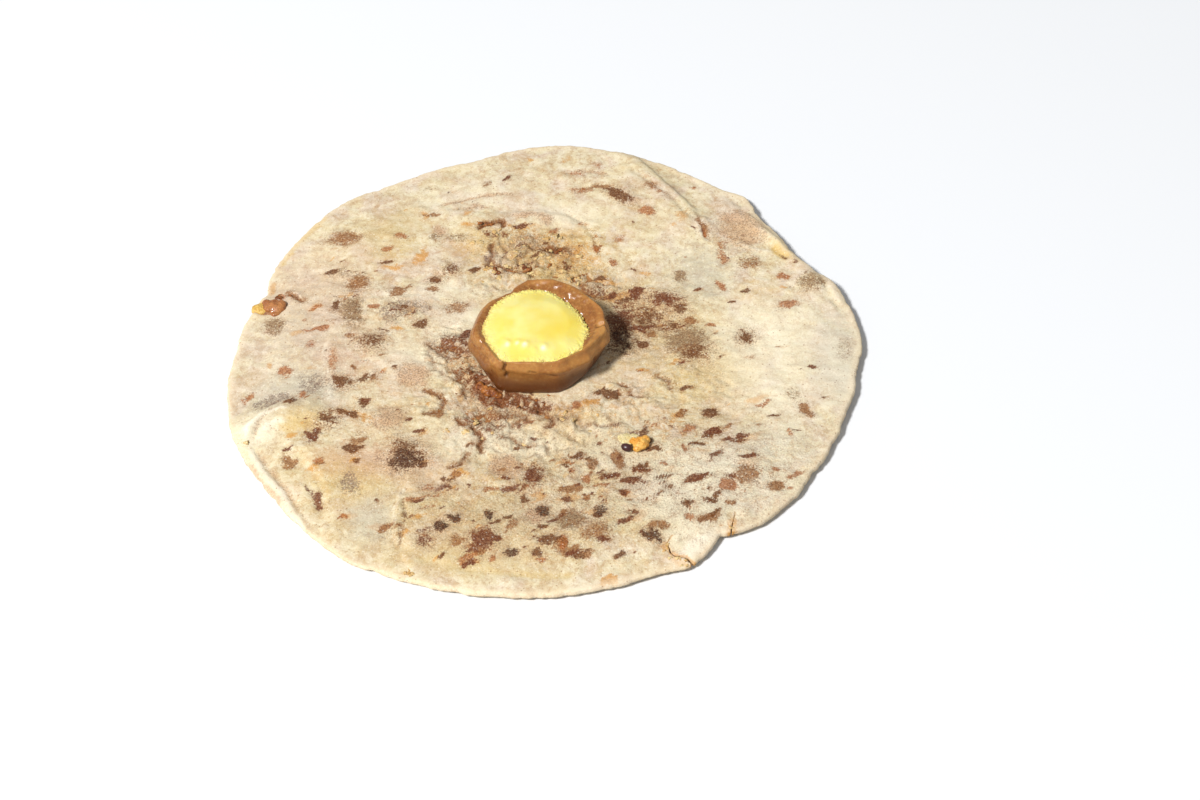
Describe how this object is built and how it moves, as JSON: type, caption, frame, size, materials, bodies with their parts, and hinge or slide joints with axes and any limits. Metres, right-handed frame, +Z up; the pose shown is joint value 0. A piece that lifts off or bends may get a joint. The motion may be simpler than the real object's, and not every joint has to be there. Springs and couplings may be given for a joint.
{
  "type": "puran poli",
  "caption": "Round filled flatbread, toasted in spots and torn at the rim, with a small hand-pressed cup of ghee on it.",
  "frame": {"origin": "middle of the bread's footprint, on the surface it lies on", "axes": "+X to the right and +Y away from the viewer as the bread is served, +Z up out of the table; the torn rim with the filling is at -X"},
  "size_m": [0.1787, 0.1841, 0.017],
  "materials": {
    "toasted_dough": "matt, floury, with brown griddle spots",
    "lentil_filling": "moist, dense lentil paste with jaggery",
    "jaggery_dough": "smooth, slightly greasy caramel brown dough",
    "ghee": "soft set butter fat, smooth and pale yellow, granular at the edge"
  },
  "bodies": {
    "root": {"poli": "toasted_dough", "puran_filling": "lentil_filling", "jaggery_cup": "jaggery_dough", "ghee": "ghee"}
  },
  "joints": []
}
